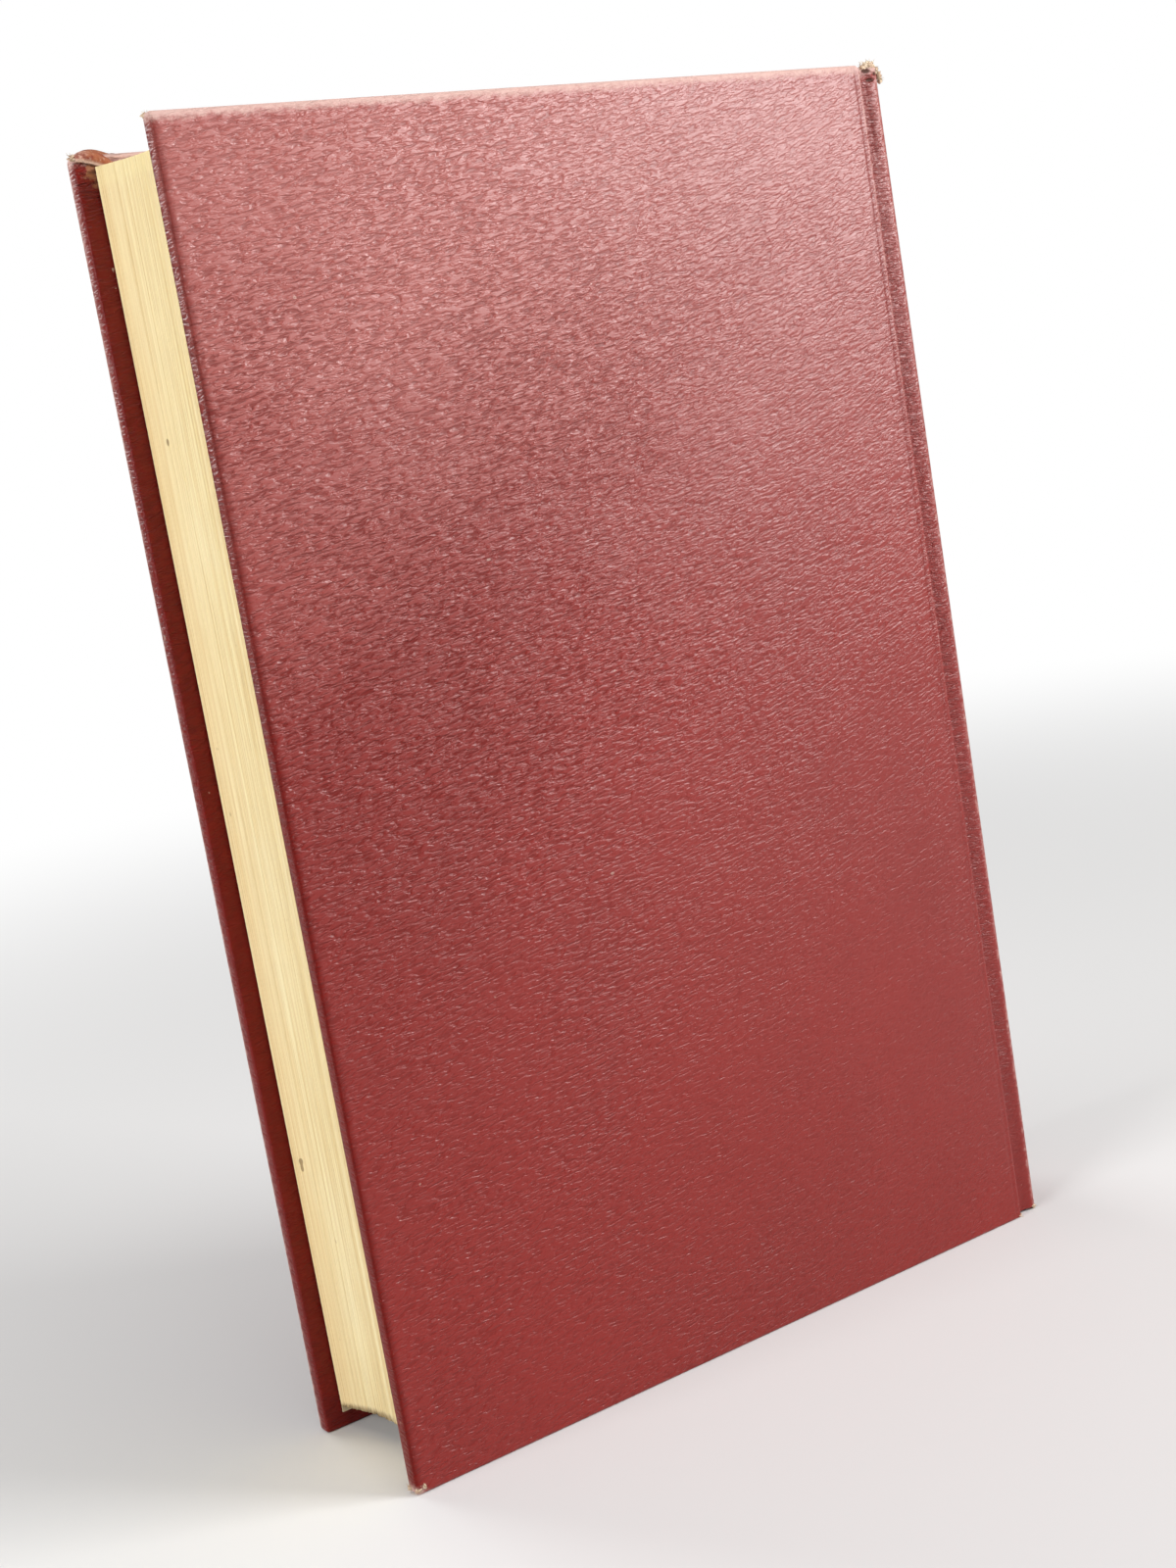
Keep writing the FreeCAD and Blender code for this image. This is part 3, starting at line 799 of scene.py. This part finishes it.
def joint_crumple(point):
    """The cloth in the groove is creased across by opening and closing."""
    beside = closeness(abs(point.x - HINGE_X - 0.6 * MM), 2.4 * MM)
    return 0.5 * beside * min(1.0, point.z / (120 * MM))


TORN_HOLES = [((66.0, 220.9), (1.3, 0.55)), ((68.0, 220.3), (0.7, 0.5)),
              ((66.9, 219.3), (1.2, 0.5))]


def torn_holes(point):
    """Where the cloth is holed at the head of the groove; places and sizes in millimetres."""
    deepest = 0.0
    for (x, z), (half_x, half_z) in TORN_HOLES:
        off = math.hypot((point.x / MM - x) / half_x, (point.z / MM - z) / half_z)
        deepest = max(deepest, closeness(off, 1.6))
    return deepest


def peeled_corner(point):
    """The turn-in of the front cover's head corner, where the cloth has come away."""
    if point.y > INNER_Y_FRONT + 0.4 * MM:
        return 0.0
    place = Vector((point.x - FORE_X - 4 * MM, 0, point.z - HEAD_Z + 3 * MM))
    return 0.85 * closeness(place.length, 7.5 * MM)


def leaf_dust(point):
    """Paper fibres on the turn-in beside the leaves, near the head."""
    beside = closeness(abs(point.x - leaves_low.x + 0.3 * MM), 2.5 * MM)
    return beside * closeness(abs(HEAD_Z - point.z - 21 * MM), 14 * MM)


for side, sign in (("back", -1), ("front", 1)):
    skin = cover_skin(side, sign)
    print(skin.name, len(skin.data.polygons), "faces")

# %% [markdown]
# The spine's skin
#
# Between the two shoulders the leathercloth follows one arc. A straight line from tail to head,
# spun about the arc's centre, makes it, and its ends are folded in over the inlay.


# %% Spine skin
INLAY_FOLD = 1.38 * MM


def spine_skin():
    bm = bmesh.new()
    start = spine_point(-SEAM_ANGLE)
    heights = [TAIL_Z] + Z_LEVELS + [HEAD_Z]
    verts = [bm.verts.new((start.x, start.y, z)) for z in heights]
    for below, above in zip(verts, verts[1:]):
        bm.edges.new((below, above))
    bmesh.ops.spin(bm, geom=bm.verts[:] + bm.edges[:], cent=SPINE_CENTRE, axis=(0, 0, 1),
                   angle=2 * SEAM_ANGLE, steps=48, use_duplicate=False, use_merge=False)
    for end_z, sign in ((TAIL_Z, 1), (HEAD_Z, -1)):
        chain = [e for e in bm.edges if all(near(v.co.z, end_z) for v in e.verts)]
        made = bmesh.ops.extrude_edge_only(bm, edges=chain)["geom"]
        ring = [g for g in made if isinstance(g, bmesh.types.BMVert)]
        shrink = 1 - INLAY_FOLD / SPINE_RADIUS
        centre = Matrix.Translation(-SPINE_CENTRE)
        bmesh.ops.scale(bm, verts=ring, vec=(shrink, shrink, 1), space=centre)
        edges = [g for g in made if isinstance(g, bmesh.types.BMEdge)]
        extrude_path(bm, edges, [Vector(), Vector((0, 0, sign * TURN_IN))])
    bmesh.ops.recalc_face_normals(bm, faces=bm.faces)
    piece = finish_piece("spine_skin", bm, leather)
    paint(piece, "wear_and_highlight", spine_wear)
    thicken(piece, "cloth_thickness", CLOTH, -1)
    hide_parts("spine_leather")
    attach(piece, "block_and_spine")
    return piece


def spine_wear(point):
    """Rubbing at the two ends of the spine."""
    head = closeness(HEAD_Z - point.z, 4 * MM)
    tail = closeness(point.z - TAIL_Z, 3 * MM)
    return max(head, tail) * 0.9


print(spine_skin().name, "made")

# %% [markdown]
# The leaves
#
# A block of leaves isn't a smooth solid: the cut edges stand a few hundredths of a millimetre
# in or out, leaf by leaf and gathering by gathering. One leaf's outline is extruded through the
# book's thickness, two steps to a leaf, with a small seeded shift each time. The outline's
# fore-edge and back follow two arcs, and the last millimetres at the back bend outwards into
# the shoulders. Years of standing have cocked the block: its front half has crept upwards.

# %% Leaves
LEAVES = 240
GATHERING = 16
HALF_LEAVES = 14.8 * MM
FORE_HOLLOW = 3.6 * MM
SQUARE_FORE = leaves_low.x
SHOULDER_START = JOINT_X + 0.3 * MM
BLOCK_RADIUS = leaves_high.x - SPINE_CENTRE.x
COCKED = 1.0 * MM
SHOULDER_RISE = leaves_high.y - HALF_LEAVES
SHOULDER_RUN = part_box("back_flyleaf")[1].x - SHOULDER_START
SHOULDER_RADIUS = (SHOULDER_RUN ** 2 + SHOULDER_RISE ** 2) / (2 * SHOULDER_RISE)
FLAT_SHARES = (0, 0.3, 0.6, 0.85, 1)
SHOULDER_SHARES = (0.35, 0.62, 0.84, 1)
LEAF_COLUMNS = len(FLAT_SHARES) + len(SHOULDER_SHARES) - 1
LEAF_ROWS = 10
RAGGED_TAIL = 0.8 * MM
EVEN_TAIL = 0.05 * MM


def fore_edge_x(y):
    """The hollow fore-edge, an arc across the thickness."""
    return SQUARE_FORE + FORE_HOLLOW * (1 - (y / HALF_LEAVES) ** 2)


def back_x(y):
    """The rounded back."""
    return SPINE_CENTRE.x + math.sqrt(BLOCK_RADIUS ** 2 - y ** 2)


def leaf_x(column, y, fore_shift):
    """Five columns on a leaf's flat, the last where its shoulder starts; four in the shoulder."""
    if column < len(FLAT_SHARES):
        fore = fore_edge_x(y) + fore_shift
        return fore + (SHOULDER_START - fore) * FLAT_SHARES[column]
    back = back_x(y * leaves_high.y / HALF_LEAVES)
    return SHOULDER_START + (back - SHOULDER_START) * SHOULDER_SHARES[column - len(FLAT_SHARES)]


def leaf_place(column, z_share, y, fore_shift, head_shift, tail_shift):
    """Where one point of a leaf's outline lies in the block."""
    x = leaf_x(column, y, fore_shift)
    run = min(max(0.0, x - SHOULDER_START), SHOULDER_RUN)
    rise = SHOULDER_RADIUS - math.sqrt(SHOULDER_RADIUS ** 2 - run ** 2)
    cocked = COCKED * (y / HALF_LEAVES + 1) / 2
    z_low = leaves_low.z + tail_shift + cocked
    z_high = leaves_high.z + head_shift + cocked
    return Vector((x, y * (1 + rise / HALF_LEAVES), z_low + (z_high - z_low) * z_share))


def leaves_piece():
    chance = random.Random(41)
    bm = bmesh.new()
    bmesh.ops.create_grid(bm, x_segments=LEAF_COLUMNS, y_segments=LEAF_ROWS, size=0.5)
    outline = {v: (round((v.co.x + 0.5) * LEAF_COLUMNS), v.co.y + 0.5) for v in bm.verts}
    for vert, (column, z_share) in outline.items():
        vert.co = leaf_place(column, z_share, -HALF_LEAVES, 0, 0, 0)
    rim = [e for e in bm.edges if e.is_boundary]
    step = 2 * HALF_LEAVES / LEAVES
    gathering_shift = 0.0
    for leaf in range(LEAVES):
        if leaf % GATHERING == 0:
            gathering_shift = chance.uniform(-0.05, 0.05) * MM
        fore_shift = gathering_shift + chance.uniform(-0.04, 0.04) * MM
        head_shift = chance.uniform(-0.03, 0.03) * MM
        ragged = RAGGED_TAIL if leaf > 0.5 * LEAVES else EVEN_TAIL
        tail_shift = chance.uniform(0, ragged) * chance.random()
        for y_share in (0.0, 1.0):
            y = -HALF_LEAVES + step * (leaf + y_share)
            made = bmesh.ops.extrude_edge_only(bm, edges=rim)["geom"]
            rim = [g for g in made if isinstance(g, bmesh.types.BMEdge)]
            before = outline
            outline = {}
            for vert in [g for g in made if isinstance(g, bmesh.types.BMVert)]:
                beside = [e.other_vert(vert) for e in vert.link_edges]
                outline[vert] = before[next(v for v in beside if v in before)]
                vert.co = leaf_place(*outline[vert], y, fore_shift, head_shift, tail_shift)
    grid = bmesh.ops.create_grid(bm, x_segments=LEAF_COLUMNS, y_segments=LEAF_ROWS, size=0.5)
    last = grid["verts"]
    for vert in last:
        column, z_share = round((vert.co.x + 0.5) * LEAF_COLUMNS), vert.co.y + 0.5
        vert.co = leaf_place(column, z_share, HALF_LEAVES, fore_shift, head_shift, tail_shift)
    bmesh.ops.remove_doubles(bm, verts=last + list(outline), dist=1e-7)
    bmesh.ops.recalc_face_normals(bm, faces=bm.faces)
    piece = finish_piece("leaves", bm, leaf_paper)
    piece.data.polygons.foreach_set("use_smooth", [False] * len(piece.data.polygons))
    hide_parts("text_block")
    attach(piece, "block_and_spine")
    return piece


leaves = leaves_piece()
print(leaves.name, len(leaves.data.polygons), "faces")

# %% [markdown]
# The fold of the endpapers
#
# A pastedown and its flyleaf are two halves of one folded sheet. The few millimetres between them
# line the groove from inside while the cover is shut.


# %% Endpaper folds
def endpaper_fold(side, sign):
    pasted_edge = Vector((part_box("back_pastedown")[1].x, INNER_Y - 0.1 * MM, 0))
    groove_side = Vector((JOINT_X, OUTER_Y + GROOVE_DEPTH + LEATHER + 0.1 * MM, 0))
    under_hinge = Vector((HINGE_X, groove_side.y, 0))
    free_edge = Vector((SHOULDER_START + SHOULDER_RUN, -leaves_high.y - 0.2 * MM, 0))
    bm = bmesh.new()
    ends = [bm.verts.new((pasted_edge.x, pasted_edge.y, z)) for z in (leaves_low.z, leaves_high.z)]
    path = [pasted_edge] + bend(pasted_edge, groove_side, under_hinge) + [free_edge]
    extrude_path(bm, [bm.edges.new(ends)], path)
    if sign > 0:
        bmesh.ops.scale(bm, verts=bm.verts, vec=(1, -1, 1))
    bmesh.ops.recalc_face_normals(bm, faces=bm.faces)
    piece = finish_piece(f"{side}_endpaper_fold", bm, endpaper)
    thicken(piece, "paper_thickness", PAPER, 0)
    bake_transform(piece)
    return piece


for side, sign in (("back", -1), ("front", 1)):
    fold = endpaper_fold(side, sign)
    print(fold.name, len(fold.data.polygons), "faces")

# %% [markdown]
# Frayed corners
#
# Where the coating has worn through, the cotton of the cloth and the felt of the board stand out
# as small pale tufts: at the head and tail of the fore-edge, and at both ends of the joint. Each
# tuft is a lump of felt, a small ball pushed about by noise, with loose threads that start on
# it. A thread is a three-sided tube that wanders and gets thinner.


# %% Tuft helpers
THREAD = 0.07 * MM
THREAD_STEPS = 5


def scatter(chance, reach):
    """A random step of up to reach along each axis."""
    return Vector([chance.uniform(-reach, reach) for _ in range(3)])


def thread(bm, start, heading, length, chance):
    ring = bmesh.ops.create_circle(bm, cap_ends=True, segments=3, radius=THREAD)["verts"]
    turn = heading.to_track_quat("Z", "Y").to_matrix().to_4x4()
    bmesh.ops.transform(bm, verts=ring, matrix=Matrix.Translation(start) @ turn)
    tip = ring[0].link_faces[0]
    for _ in range(THREAD_STEPS):
        made = bmesh.ops.extrude_face_region(bm, geom=[tip])["geom"]
        ring = [g for g in made if isinstance(g, bmesh.types.BMVert)]
        tip = next(g for g in made if isinstance(g, bmesh.types.BMFace))
        heading = (heading + scatter(chance, 0.5)).normalized()
        bmesh.ops.translate(bm, verts=ring, vec=heading * length / THREAD_STEPS)
        centre = sum((v.co for v in ring), Vector()) / len(ring)
        bmesh.ops.scale(bm, verts=ring, vec=(0.85, 0.85, 0.85), space=Matrix.Translation(-centre))


def felt_lump(bm, centre, half_sizes):
    """A small ball pushed about by noise and stretched to its half sizes."""
    verts = bmesh.ops.create_icosphere(bm, subdivisions=3, radius=1)["verts"]
    for vert in verts:
        vert.co *= 1 + 0.9 * noise.noise(vert.co * 2.2 + centre * 900)
    bmesh.ops.scale(bm, verts=verts, vec=half_sizes)
    bmesh.ops.translate(bm, verts=verts, vec=centre)


def fray(name, body, material, lumps, threads, outwards, seed):
    """Tufts at one worn place; lumps are pairs of a centre and half sizes in millimetres."""
    chance = random.Random(seed)
    bm = bmesh.new()
    for centre, half_sizes in lumps:
        centre = Vector(centre) * MM
        felt_lump(bm, centre, Vector(half_sizes) * MM)
        for _ in range(threads):
            start = centre + scatter(chance, 0.6 * max(half_sizes) * MM)
            heading = (Vector(outwards) + scatter(chance, 0.8)).normalized()
            thread(bm, start, heading, chance.uniform(0.5, 1.2) * MM, chance)
    bmesh.ops.recalc_face_normals(bm, faces=bm.faces)
    piece = finish_piece(name, bm, material)
    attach(piece, body)
    print(name, len(piece.data.polygons), "faces")


# %% Frayed places
fray("back_head_corner_fray", "back_cover", frayed,
     [((-73.7, -15.8, 221.6), (0.5, 0.6, 0.45))], 14, (-0.6, 0.3, 0.8), 3)
fray("back_tail_corner_fray", "back_cover", frayed,
     [((-73.9, -16.0, 0.8), (0.45, 0.55, 0.45)), ((-73.6, -18.0, 0.8), (0.6, 0.45, 0.45)),
      ((-72.6, -18.3, 1.2), (0.35, 0.2, 0.5))], 14, (-0.5, -0.4, 0.4), 5)
fray("front_head_corner_fray", "front_cover", frayed,
     [((-73.8, 15.9, 221.7), (0.6, 0.8, 0.5))], 16, (-0.6, -0.3, 0.8), 7)
fray("spine_tail_fray", "block_and_spine", frayed,
     [((68.3, -17.0, 0.5), (0.5, 0.4, 0.35))], 8, (0.6, -0.6, 0.3), 11)
fray("joint_tail_fray", "back_cover", frayed,
     [((63.5, -17.9, 0.5), (0.5, 0.45, 0.35))], 6, (0.2, -0.9, 0.3), 12)
TORN_HEAD = [((65.3, -17.4, 221.5), (0.7, 0.3, 0.35)), ((66.5, -17.3, 221.9), (0.8, 0.35, 0.6)),
             ((67.6, -17.2, 221.8), (0.8, 0.4, 0.65)), ((68.8, -17.0, 221.0), (0.5, 0.4, 0.7)),
             ((69.5, -16.8, 220.1), (0.4, 0.4, 0.7)), ((69.9, -16.5, 219.2), (0.35, 0.35, 0.6))]
fray("spine_head_fray", "block_and_spine", frayed, TORN_HEAD, 16, (0.4, 0.2, 0.8), 17)

# %% [markdown]
# The peeled flap
#
# At the head corner of the front cover the turned-in cloth has come off the board. It bulges
# over the head edge, its cotton back outwards, and its cut edge curls in a pale line down to
# the leaves. A small grid bent into a pillow and thickened is enough for that.


# %% Peeled cloth and flap
def peeled_cloth():
    make = Finish("peeled_cloth")
    patches = make.noise((480, 480, 480), detail=4, roughness=0.65)
    fibres = make.noise((1800, 1800, 900), detail=3, roughness=0.7)
    ragged = make.shifted(make.part("X"), patches, 0.004)
    colour = make.mix(make.ramp(ragged, -0.0710, -0.0690), (0.62, 0.32, 0.24), (0.36, 0.11, 0.045))
    colour = make.mix(make.ramp(patches, 0.48, 0.60, 0.0, 0.85), colour, (0.24, 0.045, 0.022))
    colour = make.mix(make.ramp(fibres, 0.5, 0.75, 0.0, 0.5), colour, (0.70, 0.52, 0.40))
    colour = make.mix(make.attribute("edge"), colour, (0.72, 0.52, 0.42))
    height = make.math("ADD", fibres, patches)
    return make.finish(Base_Color=colour, Roughness=0.9, Normal=make.bump(height, 0.0004, 0.8))


FLAP_X = -73.9
FLAP_WIDTH = 7.6


def flap_low(along):
    """Height of the curled edge, in millimetres; it sinks away from the corner."""
    return 221.2 - 2.4 * along ** 1.4


def flap_point(along, up):
    """A point of the bulging flap; along runs from the corner, up from the curled edge."""
    x = FLAP_X + FLAP_WIDTH * along
    low = flap_low(along)
    high = 222.2 + 0.9 * math.sin(math.pi * min(1.0, along * 1.15))
    bulge = math.sin(math.pi * up) * math.sin(math.pi * min(1.0, 0.12 + along))
    y = 15.05 - 0.8 * bulge + 1.6 * up ** 2
    wander = noise.noise(Vector((along * 5, up * 4, 2.0))) * 0.25
    wander += noise.noise(Vector((along * 13, up * 9, 7.0))) * 0.15
    return Vector((x, y + wander, low + (high - low) * up + wander * 0.5)) * MM


FLAP_CLOTH = 0.22 * MM
flap_shape = bmesh.new()
bmesh.ops.create_grid(flap_shape, x_segments=18, y_segments=12, size=0.5)
for vert in flap_shape.verts:
    vert.co = flap_point(vert.co.x + 0.5, vert.co.y + 0.5)
bmesh.ops.solidify(flap_shape, geom=flap_shape.faces[:], thickness=FLAP_CLOTH)
bmesh.ops.recalc_face_normals(flap_shape, faces=flap_shape.faces)
flap = finish_piece("front_corner_flap", flap_shape, peeled_cloth())


def curled_edge(point):
    """The cut edge of the flap, where the cotton shows pale."""
    along = (point.x / MM - FLAP_X) / FLAP_WIDTH
    return closeness(abs(point.z / MM - flap_low(max(0.0, along))), 0.45)


paint(flap, "edge", curled_edge)
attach(flap, "front_cover")
print(flap.name, len(flap.data.polygons), "faces")
